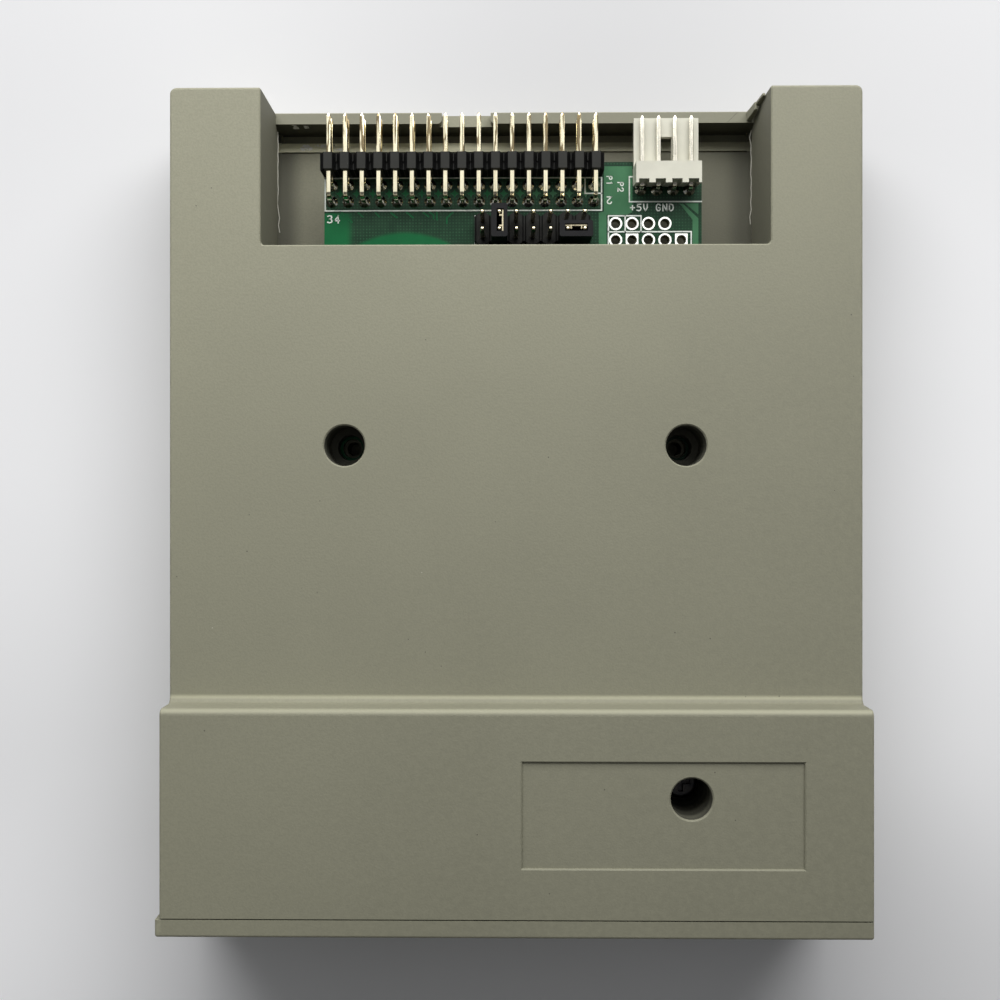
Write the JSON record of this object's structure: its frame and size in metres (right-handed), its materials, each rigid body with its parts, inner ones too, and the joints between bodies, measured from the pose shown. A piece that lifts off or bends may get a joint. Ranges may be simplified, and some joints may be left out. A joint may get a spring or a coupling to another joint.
{
  "type": "floppy drive emulator",
  "caption": "Drive emulator in a 3.5 inch housing, underside up, with a rear connector opening, a circuit board with pin headers, and a USB bezel.",
  "frame": {"origin": "on the outer face of the top cover, which is down, under the middle of the case", "axes": "+Z out of the underside, which is up; +Y to the connectors at the rear; +X across, to the picture's right"},
  "size_m": [0.1022, 0.1238, 0.0254],
  "materials": {
    "case_plastic": "warm grey, finely moulded texture",
    "black_plastic": "black nylon, satin",
    "white_plastic": "off-white nylon",
    "board": "green solder mask over glass fibre",
    "gilt": "gold flash over copper alloy",
    "tin": "tin plate and solder",
    "steel": "bright nickel plated sheet",
    "black_steel": "black oxide",
    "can": "plain can",
    "ceramic": "fired ceramic",
    "package": "moulded epoxy",
    "milky": "milky diffuser",
    "lens": "green tinted clear resin",
    "button": "black, satin"
  },
  "bodies": {
    "case": {"top_cover": "case_plastic", "bottom_cover": "case_plastic", "case_screw": "black_steel", "circuit_board": "board", "solder_joints": "tin", "spare_pads": "tin", "floppy_header_body": "black_plastic", "floppy_header_pins": "gilt", "power_header_body": "white_plastic", "power_header_pins": "tin", "jumper_header_body": "black_plastic", "jumper_header_pins": "gilt", "microcontroller_body": "package", "microcontroller_leads": "tin", "buffer_body": "package", "buffer_leads": "tin", "regulator_body": "package", "regulator_legs": "tin", "crystal_can": "can", "capacitor_can": "can", "capacitor_base": "black_plastic", "capacitor_terminals": "tin", "chip_resistors": "package", "chip_capacitors": "ceramic", "chip_ends": "tin", "usb_shell": "steel", "usb_insulator": "white_plastic", "usb_contacts": "gilt", "usb_legs": "tin", "display_body": "black_plastic", "display_digits": "milky", "display_pins": "tin", "lamp_lens": "lens", "lamp_leads": "tin", "switch_1_base": "black_plastic", "switch_1_cover": "steel", "switch_1_dome": "steel", "switch_2_base": "black_plastic", "switch_2_cover": "steel", "switch_2_dome": "steel", "switch_legs": "tin"},
    "first_button": {"button_1": "button"},
    "second_button": {"button_2": "button"},
    "first_shunt": {"shunt_1_cap": "black_plastic", "shunt_1_contact": "gilt"},
    "second_shunt": {"shunt_2_cap": "black_plastic", "shunt_2_contact": "gilt"}
  },
  "joints": [
    {"name": "first_button_press", "type": "slide", "parent": "case", "child": "first_button", "axis": [0, 1, 0], "range_m": [0, 0.00025], "stiffness_N_per_m": 4000},
    {"name": "second_button_press", "type": "slide", "parent": "case", "child": "second_button", "axis": [0, 1, 0], "range_m": [0, 0.00025], "stiffness_N_per_m": 4000},
    {"name": "first_shunt_pull", "type": "slide", "parent": "case", "child": "first_shunt", "axis": [0, 0, 1], "range_m": [0, 0.0065]},
    {"name": "second_shunt_pull", "type": "slide", "parent": "case", "child": "second_shunt", "axis": [0, 0, 1], "range_m": [0, 0.0065]}
  ]
}
